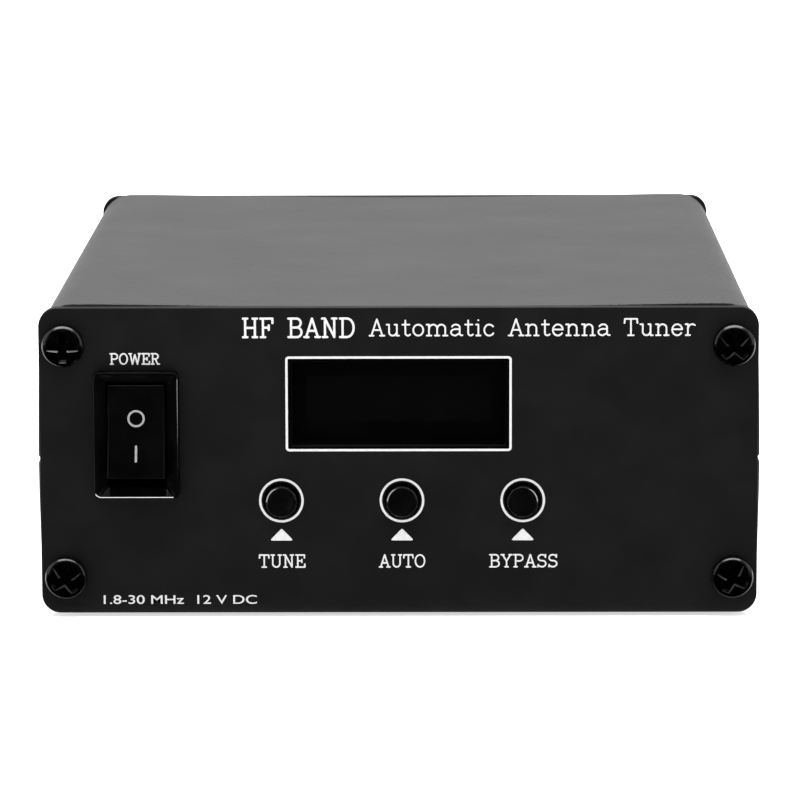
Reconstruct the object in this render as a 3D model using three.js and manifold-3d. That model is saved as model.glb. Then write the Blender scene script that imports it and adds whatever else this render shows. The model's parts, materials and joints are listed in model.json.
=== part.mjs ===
// Small automatic antenna tuner. Two identical half shells of extruded aluminium are closed by two
// screwed panels. The front panel carries a rocker switch, a display window and three push buttons, the
// rear panel two coaxial sockets, a supply jack and an earth stud. The main board slides in the shells.
// Millimetres, +Z up, the front panel faces -Y, and the origin is the middle of the base.
import * as THREE from 'three';
import { mergeVertices } from 'three/addons/utils/BufferGeometryUtils.js';
import Module from 'manifold-3d';

const wasm = await Module();
wasm.setup();

// Case
const CASE_LENGTH = 110;
const CASE_HEIGHT = 38.3;
const MID_HEIGHT = CASE_HEIGHT / 2;
const CORNER_HALF_WIDTH = 43.7;
const CORNER_RADIUS = 4;
const SIDE_BULGE = 0.3;
const BASE_DISH = 0.4;
const DISH_HALF_WIDTH = 36.5;
const WALL = 1.8;
const INNER_HALF_WIDTH = 42.2;
const PARTING_CHAMFER = 0.4;
const TONGUE = { thickness: 0.7, height: 1, clearance: 0.1 };

// Board slot and screw channels of each half shell
const SLOT = { bottom: 8.8, top: 10.6, depthTo: 42, ribTo: 39.6, ribHeight: 1.2 };
const CHANNEL = { x: 40.65, z: 4.85, bore: 1.3, outer: 2.6, slit: 1 };

// Panels
const PANEL_WIDTH = 87.4;
const PANEL_HEIGHT = 37.7;
const PANEL_THICKNESS = 1.6;
const PANEL_RADIUS = 2.3;
const SCREW_HOLE = 1.65;
const FRONT = -(CASE_LENGTH / 2 + PANEL_THICKNESS);
const BACK = CASE_LENGTH / 2 + PANEL_THICKNESS;

// Cross-head screws
const HEAD = { radius: 2.55, height: 1.9, rim: 0.9 };
const SHANK = { radius: 1.2, length: 8, point: 1 };
const RECESS = { length: 2.8, width: 0.75, depth: 1.1 };

// Rocker switch; the rocker's outline is given about its pivot, level with the panel
const SWITCH = { x: -31.85, z: 22.5, width: 10.46, height: 15.69, flange: 1.5, radius: 0.8 };
const SWITCH_BODY = { width: 8.5, height: 13.4, depth: 9, floor: 2.5, latch: 0.5 };
const LATCH = { gap: 0.3, root: 0.5, length: 3, width: 3 };
const SWITCH_MOUTH = { width: 7.3, height: 12.9, slope: 1, slopeDepth: 0.9 };
const ROCKER = { width: 7, half: 5.7, valley: 2.7, tip: 3.7, pivotDepth: 1.5, throw: 20 };
const TRUNNION = { radius: 0.9, reach: 0.45, clearance: 0.1 };
const TAB = { width: 2.8, thickness: 0.6, inside: 5.3, outside: 15.5, offsets: [-4.2, 0] };

// Display
const WINDOW = { width: 25.96, height: 10.5, z: 26.15 };
const GLASS = { width: 30, height: 11.5, thickness: 1.45, gap: 0.3 };
const DISPLAY_BOARD = { width: 38, height: 12, thickness: 1.2 };
const RIBBON = { x: -6.9, width: 4.6, thickness: 0.5, bend: 2.5, tail: 6 };

// Push buttons on side-pressed tactile switches
const BUTTONS = { tune: -14.32, auto: 0.38, bypass: 15.1 };
const BUTTON_Z = 14.25;
const BUTTON_HOLE = 2.2;
const BUTTON = { radius: 1.9, proud: 1.3, edge: 0.3, stem: 1.5, stemLength: 1.8 };
const KEY = { size: 6, depth: 3.5, setback: 3.5, bore: 1.7, gap: 0.5 };

// Main board and what stands on it
const BOARD = { halfWidth: 41.7, front: -53.6, back: 47, thickness: 1.6 };
const BOARD_TOP = SLOT.bottom + BOARD.thickness;
const RELAY = { length: 15, width: 7.6, height: 10, pitch: 8.4, count: 7, x: 31, firstY: -31 };
const SOLDER_GAP = 0.3;
const COILS = [
  { x: -10, y: -24, radius: 6.6, tube: 3 },
  { x: 10, y: -24, radius: 6.6, tube: 3 },
  { x: -9, y: -3, radius: 5.4, tube: 2.4 },
  { x: 9, y: -3, radius: 4.4, tube: 2 },
];

const BRIDGE = { x: 12, y0: 17, y1: 31, width: 13, height: 7.5, radius: 3.7, bore: 1.9, pitch: 6 };
const REGULATOR = {
  x: -30, width: 10, front: 33, back: 37.5, tab: 1.3, stand: 2, bodyTop: 11, tabTop: 17.5, legPitch: 2.5,
};
const CHIP = { length: 18, front: -42, back: -34.5, height: 2.5 };
const CAN = { x: -17, y: 34, radius: 4, height: 11 };

// Coaxial sockets
const SOCKETS = { antenna: 23.5, transceiver: -23.5 };
const COAX = {
  flange: 25.4, flangeThickness: 1.6, holePitch: 18.26, neck: 7.2, thread: 7.95, mouth: 6.2,
  length: 16.3, boss: 6.3, bossDepth: 3, seat: 4.6, notch: 1.2,
};
const INSULATOR = { face: 6.5, foot: 1.1, tail: 4.2, core: 1.9 };
const CONTACT = {
  radius: 2.7, bore: 2, tip: 15.2, boreFloor: 7.5, slot: 0.5, slotDepth: 5,
  stem: 1.8, cup: 9, cupBore: 1.2, cupDepth: 4,
};

// Supply jack and earth stud
const JACK = {
  z: 25.5, flange: 5.5, flangeThickness: 1.8, barrel: 3.9, depth: 10, bore: 2.9, boreDepth: 7.5,
};
const JACK_PIN = { radius: 1.05, tip: 0.8, tail: 14, lug: 1.8 };
const JACK_NUT = { acrossFlats: 11, thickness: 2 };
const STUD = { z: 11, radius: 1.95, head: 3.8, headHeight: 2.2, length: 10 };
const WASHER = { radius: 4.5, thickness: 0.8 };
const NUT = { acrossFlats: 7, thickness: 3.2 };

const finish = (color, roughness, metalness) =>
  new THREE.MeshStandardMaterial({ color, roughness, metalness });
const paint = {
  shell: finish(0x1b1b1c, 0.55, 0.5),
  panel: finish(0x1a1a1c, 0.5, 0),
  screw: finish(0x101011, 0.4, 0.8),
  gloss: finish(0x050505, 0.2, 0),
  glass: finish(0x020203, 0.08, 0),
  board: finish(0x14532d, 0.5, 0),
  relay: finish(0x1f3f6e, 0.5, 0),
  coil: finish(0x8c2f1b, 0.6, 0),
  chip: finish(0x161616, 0.6, 0),
  steel: finish(0xb8bac0, 0.35, 1),
  nickel: finish(0xc8c8c2, 0.3, 1),
  brass: finish(0xc9a24a, 0.3, 1),
  insulator: finish(0xece8dc, 0.6, 0),
  lead: finish(0xa01818, 0.5, 0),
};

const tuner = new THREE.Group();
tuner.name = 'antenna_tuner';

function piece(name, geometry, material) {
  const mesh = new THREE.Mesh(geometry, material);
  mesh.name = name;
  tuner.add(mesh);
  return mesh;
}

// --- outlines -------------------------------------------------------------------------------------

const point = (x, z) => new THREE.Vector2(x, z);

// Points on a circle from one angle to another, in degrees.
function arc(x, z, radius, from, to, steps) {
  return Array.from({ length: steps + 1 }, (_, i) => {
    const angle = THREE.MathUtils.degToRad(from + ((to - from) * i) / steps);
    return point(x + radius * Math.cos(angle), z + radius * Math.sin(angle));
  });
}

const circle = (x, z, radius, sides) => arc(x, z, radius, 0, 360 - 360 / sides, sides - 1);

const rectangle = (x, z, width, height) => [
  point(x - width / 2, z - height / 2),
  point(x + width / 2, z - height / 2),
  point(x + width / 2, z + height / 2),
  point(x - width / 2, z + height / 2),
];

function roundedRectangle(x, z, width, height, radius, steps = 5) {
  const across = width / 2 - radius;
  const up = height / 2 - radius;
  return [
    ...arc(x + across, z - up, radius, -90, 0, steps),
    ...arc(x + across, z + up, radius, 0, 90, steps),
    ...arc(x - across, z + up, radius, 90, 180, steps),
    ...arc(x - across, z - up, radius, 180, 270, steps),
  ];
}

const hexagon = (x, z, acrossFlats) => arc(x, z, acrossFlats / Math.sqrt(3), 0, 300, 5);

// --- solids ---------------------------------------------------------------------------------------

function extrude(outline, holes, depth) {
  const shape = new THREE.Shape(outline);
  shape.holes = holes.map((hole) => new THREE.Path(hole));
  return new THREE.ExtrudeGeometry(shape, { depth, bevelEnabled: false });
}

// An outline in the X-Z plane pushed along Y.
function prismY(outline, y0, y1, holes = []) {
  return extrude(outline, holes, y1 - y0).rotateX(Math.PI / 2).translate(0, y1, 0);
}

// An outline in the Y-Z plane pushed along X.
function prismX(outline, x0, x1) {
  return extrude(outline, [], x1 - x0).rotateX(Math.PI / 2).rotateZ(Math.PI / 2).translate(x0, 0, 0);
}

function block(x0, x1, y0, y1, z0, z1) {
  const box = new THREE.BoxGeometry(x1 - x0, y1 - y0, z1 - z0);
  return box.translate((x0 + x1) / 2, (y0 + y1) / 2, (z0 + z1) / 2);
}

// A profile of radius and Y, listed anticlockwise, turned about the Y axis.
const turned = (profile, sides) => new THREE.LatheGeometry(profile.map(([r, y]) => point(r, y)), sides);

// A ring's profile, closed on itself.
const ring = (profile, sides) => turned([...profile, profile[0]], sides);

function toSolid(geometry) {
  const bare = new THREE.BufferGeometry();
  bare.setAttribute('position', geometry.getAttribute('position'));
  bare.setIndex(geometry.index);
  const merged = mergeVertices(bare, 1e-3);
  const mesh = new wasm.Mesh({
    numProp: 3,
    vertProperties: merged.attributes.position.array,
    triVerts: new Uint32Array(merged.index.array),
  });
  return new wasm.Manifold(mesh);
}

function toGeometry(solid) {
  const { vertProperties, triVerts } = solid.getMesh();
  const geometry = new THREE.BufferGeometry();
  geometry.setAttribute('position', new THREE.BufferAttribute(Float32Array.from(vertProperties), 3));
  geometry.setIndex(new THREE.BufferAttribute(Uint32Array.from(triVerts), 1));
  geometry.computeVertexNormals();
  return geometry;
}

function join(first, ...others) {
  return toGeometry(others.reduce((sum, other) => sum.add(toSolid(other)), toSolid(first)));
}

function cut(body, ...tools) {
  return toGeometry(tools.reduce((rest, tool) => rest.subtract(toSolid(tool)), toSolid(body)));
}

// --- case -----------------------------------------------------------------------------------------

// One side wall of a half shell, from the runner it stands on, up the outside, over the joint and down
// the inside past the board slot and the screw channel to the floor.
function sideWall(jointPoints) {
  const rise = MID_HEIGHT - PARTING_CHAMFER - CORNER_RADIUS;
  const flank = [1, 2, 3, 4].map((i) => {
    const z = CORNER_RADIUS + (rise * i) / 4;
    const fromMiddle = (MID_HEIGHT - z) / (MID_HEIGHT - CORNER_RADIUS);
    return point(CORNER_HALF_WIDTH + SIDE_BULGE * (1 - fromMiddle ** 2), z);
  });
  const { x, z, bore, outer, slit } = CHANNEL;
  const boreSlit = THREE.MathUtils.radToDeg(Math.asin(slit / 2 / bore));
  const outerSlit = THREE.MathUtils.radToDeg(Math.asin(slit / 2 / outer));
  return [
    point(DISH_HALF_WIDTH, 0),
    ...arc(CORNER_HALF_WIDTH - CORNER_RADIUS, CORNER_RADIUS, CORNER_RADIUS, -90, 0, 7),
    ...flank,
    point(CORNER_HALF_WIDTH + SIDE_BULGE - PARTING_CHAMFER, MID_HEIGHT),
    ...jointPoints,
    point(INNER_HALF_WIDTH, SLOT.top + SLOT.ribHeight),
    point(SLOT.ribTo, SLOT.top + SLOT.ribHeight),
    point(SLOT.ribTo, SLOT.top),
    point(SLOT.depthTo, SLOT.top),
    point(SLOT.depthTo, SLOT.bottom),
    point(SLOT.ribTo, SLOT.bottom),
    point(SLOT.ribTo, SLOT.bottom - SLOT.ribHeight),
    ...arc(x, z, outer, 110, 180 - outerSlit, 4),
    ...arc(x, z, bore, 180 - boreSlit, boreSlit - 180, 12),
    ...arc(x, z, outer, 180 + outerSlit, 250, 4),
    point(x + outer * Math.cos(THREE.MathUtils.degToRad(250)), WALL),
  ];
}

// The half shell's cross-section. Its right wall ends in a tongue and its left wall in the groove for
// the other half's tongue, so two of the same extrusion close on each other.
function halfShellOutline() {
  const tongueOuter = INNER_HALF_WIDTH + TONGUE.thickness;
  const tongue = [
    point(tongueOuter, MID_HEIGHT),
    point(tongueOuter, MID_HEIGHT + TONGUE.height),
    point(INNER_HALF_WIDTH, MID_HEIGHT + TONGUE.height),
  ];
  const grooveFloor = MID_HEIGHT - TONGUE.height - TONGUE.clearance;
  const groove = [
    point(tongueOuter + TONGUE.clearance, MID_HEIGHT),
    point(tongueOuter + TONGUE.clearance, grooveFloor),
    point(INNER_HALF_WIDTH, grooveFloor),
  ];
  const dishSteps = 12;
  const dish = Array.from({ length: dishSteps - 1 }, (_, i) => {
    const across = (2 * (i + 1)) / dishSteps - 1;
    return point(across * DISH_HALF_WIDTH, BASE_DISH * (1 - across ** 2));
  });
  const leftWall = sideWall(groove).map(({ x, y }) => point(-x, y)).reverse();
  return [...dish, ...sideWall(tongue), ...leftWall];
}

function shells() {
  const half = prismY(halfShellOutline(), -CASE_LENGTH / 2, CASE_LENGTH / 2);
  piece('shell_bottom', half, paint.shell);
  const top = piece('shell_top', half, paint.shell);
  top.rotation.y = Math.PI;
  top.position.z = CASE_HEIGHT;
}

// --- panels and their screws ----------------------------------------------------------------------

const panelScrewPlaces = [-1, 1].flatMap((side) =>
  [CHANNEL.z, CASE_HEIGHT - CHANNEL.z].map((z) => [side * CHANNEL.x, z]),
);

const flangeScrewPlaces = (centre) =>
  [-1, 1].flatMap((side) =>
    [-1, 1].map((up) => [centre + (side * COAX.holePitch) / 2, MID_HEIGHT + (up * COAX.holePitch) / 2]),
  );

const panelOutline = () => roundedRectangle(0, MID_HEIGHT, PANEL_WIDTH, PANEL_HEIGHT, PANEL_RADIUS);

function frontPanel() {
  const holes = [
    ...panelScrewPlaces.map(([x, z]) => circle(x, z, SCREW_HOLE, 14)),
    ...Object.values(BUTTONS).map((x) => circle(x, BUTTON_Z, BUTTON_HOLE, 28)),
    rectangle(0, WINDOW.z, WINDOW.width, WINDOW.height),
    rectangle(SWITCH.x, SWITCH.z, SWITCH_BODY.width + 0.2, SWITCH_BODY.height + 0.2),
  ];
  piece('front_panel', prismY(panelOutline(), FRONT, FRONT + PANEL_THICKNESS, holes), paint.panel);
}

function rearPanel() {
  const sockets = Object.values(SOCKETS);
  const holes = [
    ...panelScrewPlaces.map(([x, z]) => circle(x, z, SCREW_HOLE, 14)),
    ...sockets.flatMap(flangeScrewPlaces).map(([x, z]) => circle(x, z, SHANK.radius + 0.1, 12)),
    ...sockets.map((x) => circle(x, MID_HEIGHT, COAX.boss + 0.2, 24)),
    circle(0, JACK.z, JACK.barrel + 0.15, 24),
    circle(0, STUD.z, STUD.radius + 0.15, 16),
  ];
  piece('rear_panel', prismY(panelOutline(), BACK - PANEL_THICKNESS, BACK, holes), paint.panel);
}

// Pan head screw along Y: the head stands in front of y = 0 and the shank runs back from it.
function screwGeometry() {
  const { radius, height, rim } = HEAD;
  const shape = turned(
    [
      [0, -height],
      [radius * 0.62, -height * 0.93],
      [radius * 0.9, -height * 0.72],
      [radius, -rim],
      [radius, 0],
      [SHANK.radius, 0],
      [SHANK.radius, SHANK.length],
      [0, SHANK.length + SHANK.point],
    ],
    14,
  );
  const arms = [RECESS.length, RECESS.width].map((across, i) => {
    const up = i ? RECESS.length : RECESS.width;
    return block(-across / 2, across / 2, -height - 0.5, -height + RECESS.depth, -up / 2, up / 2);
  });
  return cut(shape, ...arms);
}

// Screws are driven home at whatever angle they stop.
function screws(geometry, name, places, y, facing) {
  places.forEach(([x, z], i) => {
    const screw = piece(`${name}_${i + 1}`, geometry, paint.screw);
    screw.rotation.set(0, 0.35 + i * 1.15, facing);
    screw.rotation.order = 'ZYX';
    screw.position.set(x, y, z);
  });
}

function panelScrews() {
  const geometry = screwGeometry();
  screws(geometry, 'front_screw', panelScrewPlaces, FRONT, 0);
  screws(geometry, 'rear_screw', panelScrewPlaces, BACK, Math.PI);
  for (const [name, x] of Object.entries(SOCKETS)) {
    screws(geometry, `${name}_socket_screw`, flangeScrewPlaces(x), BACK + COAX.flangeThickness, Math.PI);
  }
}

// --- rocker switch --------------------------------------------------------------------------------

// A block whose front face is larger than its back face.
function funnel(x, z, front, back) {
  const geometry = new THREE.BoxGeometry(1, 1, 1);
  const at = geometry.getAttribute('position');
  for (let i = 0; i < at.count; i += 1) {
    const end = at.getY(i) < 0 ? front : back;
    at.setXYZ(i, x + at.getX(i) * end.width, end.y, z + at.getZ(i) * end.height);
  }
  return geometry;
}

function switchHousing() {
  const { x, z, width, height, flange, radius } = SWITCH;
  const body = SWITCH_BODY;
  const mouth = SWITCH_MOUTH;
  const rim = prismY(roundedRectangle(x, z, width, height, radius, 4), FRONT - flange, FRONT);
  const shell = prismY(rectangle(x, z, body.width, body.height), FRONT - 0.5, FRONT + body.depth);
  const latchFront = FRONT + PANEL_THICKNESS + LATCH.gap;
  const latchRoot = body.height / 2 - LATCH.root;
  const latch = (side) =>
    prismX(
      [
        point(latchFront, z + side * latchRoot),
        point(latchFront, z + side * (body.height / 2 + body.latch)),
        point(latchFront + LATCH.length, z + side * latchRoot),
      ],
      x - LATCH.width / 2,
      x + LATCH.width / 2,
    );
  const cavityFloor = FRONT + body.depth - body.floor;
  const cavity = prismY(rectangle(x, z, mouth.width, mouth.height), FRONT - flange - 1, cavityFloor);
  const slope = funnel(
    x,
    z,
    {
      y: FRONT - flange - 0.01,
      width: mouth.width + 2 * mouth.slope,
      height: mouth.height + 2 * mouth.slope,
    },
    { y: FRONT - flange + mouth.slopeDepth, width: mouth.width, height: mouth.height },
  );
  const holeReach = ROCKER.width / 2 + TRUNNION.reach + TRUNNION.clearance;
  const pivotHole = prismX(
    circle(FRONT + ROCKER.pivotDepth, z, TRUNNION.radius + TRUNNION.clearance, 16),
    x - holeReach,
    x + holeReach,
  );
  const tabSlots = TAB.offsets.map((offset) =>
    prismY(
      rectangle(x, z + offset, TAB.width + 0.1, TAB.thickness + 0.1),
      cavityFloor - 1,
      FRONT + body.depth + 1,
    ),
  );
  const solid = join(rim, shell, latch(1), latch(-1));
  piece('switch_housing', cut(solid, cavity, slope, pivotHole, ...tabSlots), paint.gloss);
}

// The rocker's side outline level with the panel: two faces that rise from a valley to the tips, end
// walls, and a keel under the pivot.
function rockerOutline() {
  const { half, valley, tip } = ROCKER;
  return [
    [0, -valley],
    [half, -tip],
    [half - 0.15, -0.6],
    [3.2, 0.4],
    [1.4, 2.4],
    [-1.4, 2.4],
    [-3.2, 0.4],
    [0.15 - half, -0.6],
    [-half, -tip],
  ].map(([up, back]) => point(back, up));
}

// At rest the switch is off: the upper half is pressed in and lies level with the bezel.
function powerRocker() {
  const { width, pivotDepth } = ROCKER;
  const reach = width / 2 + TRUNNION.reach;
  const keel = prismX(rockerOutline().reverse(), -width / 2, width / 2);
  const axle = prismX(circle(0, 0, TRUNNION.radius, 16), -reach, reach);
  const rocker = piece('power_rocker', join(keel, axle), paint.gloss);
  rocker.rotation.x = THREE.MathUtils.degToRad(-ROCKER.throw / 2);
  rocker.position.set(SWITCH.x, FRONT + pivotDepth, SWITCH.z);
}

function switchTabs() {
  TAB.offsets.forEach((offset, i) => {
    const outline = rectangle(SWITCH.x, SWITCH.z + offset, TAB.width, TAB.thickness);
    piece(`switch_tab_${i + 1}`, prismY(outline, FRONT + TAB.inside, FRONT + TAB.outside), paint.brass);
  });
}

// --- display --------------------------------------------------------------------------------------

function display() {
  const glassFront = FRONT + PANEL_THICKNESS + GLASS.gap;
  const glassBack = glassFront + GLASS.thickness;
  const glass = rectangle(0, WINDOW.z, GLASS.width, GLASS.height);
  piece('display_glass', prismY(glass, glassFront, glassBack), paint.glass);
  const boardFront = glassBack + 0.05;
  const boardBack = boardFront + DISPLAY_BOARD.thickness;
  const board = rectangle(0, WINDOW.z, DISPLAY_BOARD.width, DISPLAY_BOARD.height);
  piece('display_board', prismY(board, boardFront, boardBack), paint.board);
  piece('display_ribbon', ribbon(boardBack + SOLDER_GAP), paint.lead);
}

// A flat ribbon that drops behind the display board and turns back along the main board.
function ribbon(y) {
  const { x, width, thickness, bend, tail } = RIBBON;
  const bendY = y + thickness + bend;
  const bendZ = BOARD_TOP + SOLDER_GAP + thickness + bend;
  const top = WINDOW.z + DISPLAY_BOARD.height / 2 - 1;
  const outline = [
    point(y + thickness, top),
    point(y, top),
    ...arc(bendY, bendZ, bend + thickness, 180, 270, 5),
    point(bendY + tail, bendZ - bend - thickness),
    point(bendY + tail, bendZ - bend),
    ...arc(bendY, bendZ, bend, 270, 180, 5),
  ];
  return prismX(outline, x - width / 2, x + width / 2);
}

// --- push buttons ---------------------------------------------------------------------------------

function pushButton(name, x) {
  const keyFront = FRONT + KEY.setback;
  const keyBack = keyFront + KEY.depth;
  const foot = block(x - KEY.size / 2, x + KEY.size / 2, keyFront, keyBack, BOARD_TOP, BUTTON_Z);
  const outline = roundedRectangle(x, BUTTON_Z, KEY.size, KEY.size, 0.5, 2);
  const box = prismY(outline, keyFront, keyBack);
  const bore = turned([[0, 0], [KEY.bore, 0], [KEY.bore, 3], [0, 3]], 20);
  bore.translate(x, keyFront - 1, BUTTON_Z);
  piece(`${name}_switch`, cut(join(box, foot), bore), paint.chip);

  const { radius, proud, edge, stem, stemLength } = BUTTON;
  const shoulder = proud + KEY.setback - KEY.gap;
  const profile = [
    [0, 0],
    [radius - edge, 0],
    [radius - edge * 0.3, edge * 0.3],
    [radius, edge],
    [radius, shoulder],
    [stem, shoulder],
    [stem, shoulder + stemLength],
    [0, shoulder + stemLength],
  ];
  const button = piece(`${name}_button`, turned(profile, 20), paint.gloss);
  button.position.set(x, FRONT - proud, BUTTON_Z);
}

// --- coaxial sockets ------------------------------------------------------------------------------

function coaxSocket(name, x) {
  const c = COAX;
  const body = ring(
    [
      [c.seat, -c.bossDepth],
      [c.boss, -c.bossDepth],
      [c.boss, 0.4],
      [c.neck, 0.4],
      [c.neck, 3.2],
      [c.thread, 3.8],
      [c.thread, c.length - 0.5],
      [c.thread - 0.5, c.length],
      [c.mouth, c.length],
      [c.mouth, 1],
      [c.seat, 1],
    ],
    24,
  );
  const hole = (side, up) => circle((side * c.holePitch) / 2, (up * c.holePitch) / 2, SCREW_HOLE, 12);
  const flange = prismY(roundedRectangle(0, 0, c.flange, c.flange, 1.5, 3), 0, c.flangeThickness, [
    hole(1, 1),
    hole(1, -1),
    hole(-1, 1),
    hole(-1, -1),
    circle(0, 0, c.mouth + 0.3, 24),
  ]);
  const notches = [0, 1].map((i) => {
    const reach = c.thread + 1;
    const across = i ? reach : c.notch / 2;
    const up = i ? c.notch / 2 : reach;
    return block(-across, across, c.length - 0.9, c.length + 1, -up, up);
  });
  const socket = piece(`${name}_socket`, cut(join(body, flange), ...notches), paint.nickel);
  socket.position.set(x, BACK, MID_HEIGHT);
}

function coaxInsulator(name, x) {
  const { face, foot, tail, core } = INSULATOR;
  const profile = [
    [core, -tail],
    [COAX.seat - 0.1, -tail],
    [COAX.seat - 0.1, foot],
    [COAX.mouth - 0.1, foot],
    [COAX.mouth - 0.1, face],
    [core, face],
  ];
  piece(`${name}_insulator`, ring(profile, 20), paint.insulator).position.set(x, BACK, MID_HEIGHT);
}

// The centre contact: a slit tube in front, a stem through the insulator and a solder cup behind.
function coaxContact(name, x) {
  const c = CONTACT;
  const solid = turned(
    [
      [0, -c.cup],
      [c.stem, -c.cup],
      [c.stem, INSULATOR.face + 0.1],
      [c.radius, INSULATOR.face + 0.1],
      [c.radius, c.tip - 0.4],
      [c.radius - 0.4, c.tip],
      [c.bore, c.tip],
      [c.bore, c.boreFloor],
      [0, c.boreFloor],
    ],
    14,
  );
  const reach = c.radius + 1;
  const slits = [
    block(-c.slot / 2, c.slot / 2, c.tip - c.slotDepth, c.tip + 1, -reach, reach),
    block(-reach, reach, c.tip - c.slotDepth, c.tip + 1, -c.slot / 2, c.slot / 2),
  ];
  const cup = turned([[0, -1], [c.cupBore, -1], [c.cupBore, c.cupDepth], [0, c.cupDepth]], 12);
  const window = block(-reach, reach, -c.cup - 1, c.cupDepth - c.cup, 0.4, reach);
  const contact = cut(solid, ...slits, cup.translate(0, -c.cup, 0), window);
  piece(`${name}_contact`, contact, paint.brass).position.set(x, BACK, MID_HEIGHT);
}

// --- supply jack and earth stud -------------------------------------------------------------------

function supplyJack() {
  const j = JACK;
  const pinHole = JACK_PIN.radius + 0.1;
  const profile = [
    [pinHole, -j.depth],
    [j.barrel, -j.depth],
    [j.barrel, 0],
    [j.flange, 0],
    [j.flange, j.flangeThickness - 0.4],
    [j.flange - 0.4, j.flangeThickness],
    [j.bore + 0.3, j.flangeThickness],
    [j.bore, j.flangeThickness - 0.3],
    [j.bore, -j.boreDepth],
    [pinHole, -j.boreDepth],
  ];
  piece('supply_jack', ring(profile, 24), paint.gloss).position.set(0, BACK, j.z);

  const { radius, tip, tail, lug } = JACK_PIN;
  const pin = turned([[0, -tail], [radius, -tail], [radius, tip - 0.4], [radius - 0.4, tip], [0, tip]], 14);
  const flat = block(-lug, lug, -tail, -j.depth - 0.6, -0.4, 0.4);
  piece('supply_jack_pin', join(pin, flat), paint.nickel).position.set(0, BACK, j.z);

  const inner = BACK - PANEL_THICKNESS;
  const hole = circle(0, j.z, j.barrel + 0.1, 24);
  const nut = prismY(hexagon(0, j.z, JACK_NUT.acrossFlats), inner - JACK_NUT.thickness, inner, [hole]);
  piece('supply_jack_nut', nut, paint.nickel);
}

function earthStud() {
  const { z, radius, head, headHeight, length } = STUD;
  const stud = turned(
    [
      [0, -PANEL_THICKNESS - headHeight],
      [head * 0.7, -PANEL_THICKNESS - headHeight],
      [head, -PANEL_THICKNESS - headHeight * 0.5],
      [head, -PANEL_THICKNESS],
      [radius, -PANEL_THICKNESS],
      [radius, length - 0.6],
      [radius - 0.6, length],
      [0, length],
    ],
    16,
  );
  piece('earth_stud', stud, paint.steel).position.set(0, BACK, z);
  const bore = circle(0, z, radius + 0.1, 16);
  const nutSeat = BACK + WASHER.thickness;
  piece('earth_washer', prismY(circle(0, z, WASHER.radius, 28), BACK, nutSeat, [bore]), paint.steel);
  const nut = prismY(hexagon(0, z, NUT.acrossFlats), nutSeat, nutSeat + NUT.thickness, [bore]);
  piece('earth_nut', nut, paint.steel);
}

// --- main board -----------------------------------------------------------------------------------

// A bank of relays on its common strip of pins.
function relayBank(name, x) {
  const { length, width, height, pitch, count, firstY } = RELAY;
  const lastY = firstY + pitch * (count - 1);
  const strip = block(x - 5, x + 5, firstY - 2, lastY + 2, BOARD_TOP, BOARD_TOP + 0.8);
  const relays = Array.from({ length: count }, (_, i) => {
    const y = firstY + pitch * i;
    const side = x + length / 2;
    return block(side - length, side, y - width / 2, y + width / 2, BOARD_TOP + 0.4, BOARD_TOP + height);
  });
  piece(name, join(strip, ...relays), paint.relay);
}

function coils() {
  COILS.forEach(({ x, y, radius, tube }, i) => {
    const coil = piece(`coil_${i + 1}`, new THREE.TorusGeometry(radius, tube, 8, 15), paint.coil);
    coil.position.set(x, y, BOARD_TOP + SOLDER_GAP + tube);
  });
}

function bridgeTransformer() {
  const { x, y0, y1, width, height, radius, bore, pitch } = BRIDGE;
  const middle = BOARD_TOP + SOLDER_GAP + height / 2;
  const bores = [-1, 1].map((side) => circle(x + (side * pitch) / 2, middle, bore, 12));
  const core = prismY(roundedRectangle(x, middle, width, height, radius, 4), y0, y1, bores);
  piece('bridge_transformer', core, paint.chip);
}

function regulator() {
  const { x, width, front, back, tab, stand, bodyTop, tabTop, legPitch } = REGULATOR;
  const foot = BOARD_TOP + stand;
  const body = block(x - width / 2, x + width / 2, front, back, foot, BOARD_TOP + bodyTop);
  const plate = block(x - width / 2, x + width / 2, back - tab, back, foot, BOARD_TOP + tabTop);
  const legs = [-legPitch, 0, legPitch].map((offset) =>
    block(x + offset - 0.4, x + offset + 0.4, front + 2, front + 2.5, BOARD_TOP, foot + 1),
  );
  const hole = prismY(circle(x, BOARD_TOP + tabTop - 3.2, 1.8, 14), front + 2, back + 1.5);
  piece('regulator', cut(join(body, plate, ...legs), hole), paint.chip);
}

function boardParts() {
  const { halfWidth, front, back } = BOARD;
  piece('main_board', block(-halfWidth, halfWidth, front, back, SLOT.bottom, BOARD_TOP), paint.board);
  const chipEnd = CHIP.length / 2;
  const chip = block(-chipEnd, chipEnd, CHIP.front, CHIP.back, BOARD_TOP, BOARD_TOP + CHIP.height);
  piece('controller_chip', chip, paint.chip);
  const can = new THREE.CylinderGeometry(CAN.radius, CAN.radius, CAN.height, 20).rotateX(Math.PI / 2);
  const capacitor = piece('smoothing_capacitor', can, paint.chip);
  capacitor.position.set(CAN.x, CAN.y, BOARD_TOP + CAN.height / 2);
  relayBank('relay_bank_left', -RELAY.x);
  relayBank('relay_bank_right', RELAY.x);
  coils();
  bridgeTransformer();
  regulator();
}

// A round lead along a smooth route.
function lead(name, radius, route) {
  const path = new THREE.CatmullRomCurve3(route.map(([x, y, z]) => new THREE.Vector3(x, y, z)));
  const section = new THREE.Shape(circle(0, 0, radius, 8));
  const geometry = new THREE.ExtrudeGeometry(section, { steps: 12, extrudePath: path, bevelEnabled: false });
  piece(name, geometry, paint.lead);
}

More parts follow.
